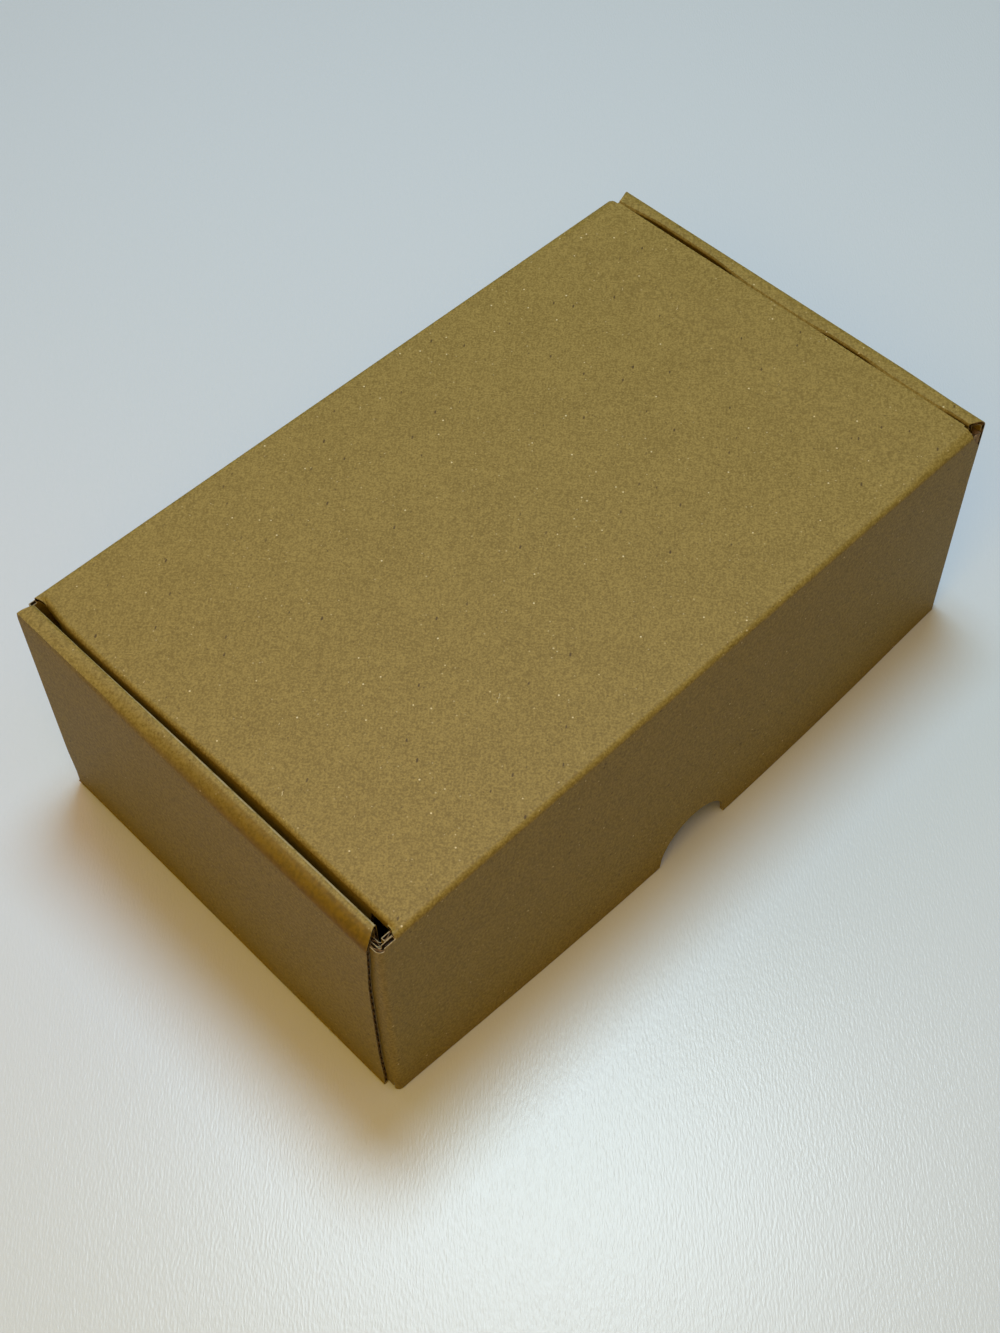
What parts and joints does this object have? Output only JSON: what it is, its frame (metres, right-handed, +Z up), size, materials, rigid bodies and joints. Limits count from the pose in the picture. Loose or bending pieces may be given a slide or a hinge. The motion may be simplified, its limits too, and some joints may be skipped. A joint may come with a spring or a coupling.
{
  "type": "corrugated mailer box",
  "caption": "Shut corrugated card mailer box with rolled side walls, a hinged lid, a front flap with tucked ears and a round thumb notch.",
  "frame": {"origin": "on the ground, at the middle of the shut box's outline", "axes": "+X along the long side, -Y towards the front flap with the thumb notch, +Z up"},
  "size_m": [0.2106, 0.1302, 0.0762],
  "materials": {
    "kraft_board": "plain brown kraft paper on corrugated board, matt"
  },
  "bodies": {
    "tray": {"tray": "kraft_board"},
    "lid": {"lid": "kraft_board"},
    "front_flap": {"front_flap": "kraft_board"}
  },
  "joints": [
    {"name": "lid_hinge", "type": "hinge", "parent": "tray", "child": "lid", "pos_m": [0, 0.06463, 0.07493], "axis": [-1, 0, 0], "range_deg": [0, 180]},
    {"name": "flap_hinge", "type": "hinge", "parent": "lid", "child": "front_flap", "pos_m": [0, -0.06143, 0.07493], "axis": [-1, 0, 0], "range_deg": [0, 120]}
  ]
}
